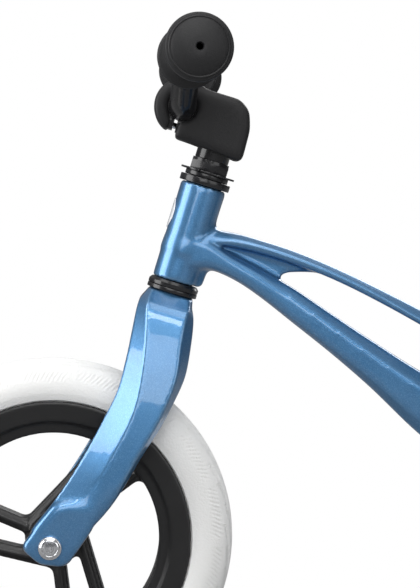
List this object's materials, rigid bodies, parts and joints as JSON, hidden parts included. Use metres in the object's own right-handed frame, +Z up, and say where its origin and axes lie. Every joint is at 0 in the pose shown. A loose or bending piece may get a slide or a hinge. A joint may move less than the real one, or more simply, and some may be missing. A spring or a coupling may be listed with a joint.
{
  "type": "balance bike",
  "caption": "Child's balance bike with a cast frame and fork, foam tyres on moulded wheels, adjustable stem and saddle, and soft grips.",
  "frame": {"origin": "on the ground, midway between the two axles, in the bike's middle plane", "axes": "front towards -X, the rider's left side towards -Y, +Z up"},
  "size_m": [0.858, 0.4002, 0.5678],
  "materials": {
    "frame_paint": "metallic pearl blue with clear coat",
    "badge": "plain gloss white oval",
    "black_metal": "gloss black",
    "bright_steel": "plated steel",
    "tyre_foam": "matt white closed-cell foam",
    "wheel_plastic": "satin black moulded nylon",
    "soft_rubber": "matt dark grey rubber",
    "saddle_plastic": "satin black",
    "saddle_cover": "soft black grained cover"
  },
  "bodies": {
    "frame": {"frame": "frame_paint", "head_badge": "badge", "lower_headset_cup": "black_metal", "upper_headset_cup": "black_metal", "lower_ball_race": "bright_steel", "upper_ball_race": "bright_steel", "rear_axle": "bright_steel", "rear_axle_bolts": "bright_steel", "rear_spacers": "bright_steel", "seat_clamp": "black_metal", "clamp_skewer": "bright_steel", "clamp_cam_pin": "bright_steel", "clamp_nut": "bright_steel"},
    "steering": {"fork": "frame_paint", "steerer_tube": "bright_steel", "crown_race": "black_metal", "top_race": "black_metal", "lock_washer": "black_metal", "lock_nut": "black_metal", "front_axle": "bright_steel", "front_axle_bolts": "bright_steel", "front_spacers": "bright_steel"},
    "front_wheel": {"front_tyre": "tyre_foam", "front_rim": "wheel_plastic", "front_bearings": "bright_steel", "front_hub_sleeve": "bright_steel"},
    "rear_wheel": {"rear_tyre": "tyre_foam", "rear_rim": "wheel_plastic", "rear_bearings": "bright_steel", "rear_hub_sleeve": "bright_steel"},
    "stem": {"stem": "black_metal", "stem_cover": "soft_rubber", "clamp_bolt": "bright_steel", "quill_bolt": "bright_steel", "quill_wedge": "bright_steel"},
    "bars": {"handlebar": "black_metal", "left_grip": "soft_rubber", "right_grip": "soft_rubber"},
    "seat": {"seat_post": "black_metal", "saddle_shell": "saddle_plastic", "saddle_bolt": "bright_steel", "saddle_pad": "saddle_cover"},
    "clamp_lever": {"clamp_lever": "black_metal"}
  },
  "joints": [
    {"name": "steering", "type": "hinge", "parent": "frame", "child": "steering", "pos_m": [-0.17905, 0, 0.36189], "axis": [0.2924, 0, 0.9563], "range_deg": [-60, 60]},
    {"name": "front_wheel_spin", "type": "hinge", "parent": "steering", "child": "front_wheel", "pos_m": [-0.28, 0, 0.149], "axis": [0, 1, 0], "continuous": true},
    {"name": "rear_wheel_spin", "type": "hinge", "parent": "frame", "child": "rear_wheel", "pos_m": [0.28, 0, 0.149], "axis": [0, 1, 0], "continuous": true},
    {"name": "stem_height", "type": "slide", "parent": "steering", "child": "stem", "axis": [0.2924, 0, 0.9563], "range_m": [0, 0.035]},
    {"name": "bar_tilt", "type": "hinge", "parent": "stem", "child": "bars", "pos_m": [-0.17225, 0, 0.50621], "axis": [0, 1, 0], "range_deg": [-25, 25]},
    {"name": "seat_height", "type": "slide", "parent": "frame", "child": "seat", "axis": [0.2924, 0, 0.9563], "range_m": [0, 0.045]},
    {"name": "clamp_lever_swing", "type": "hinge", "parent": "frame", "child": "clamp_lever", "pos_m": [0.16654, -0.016, 0.31259], "axis": [0.2924, 0, 0.9563], "range_deg": [0, 150]}
  ]
}
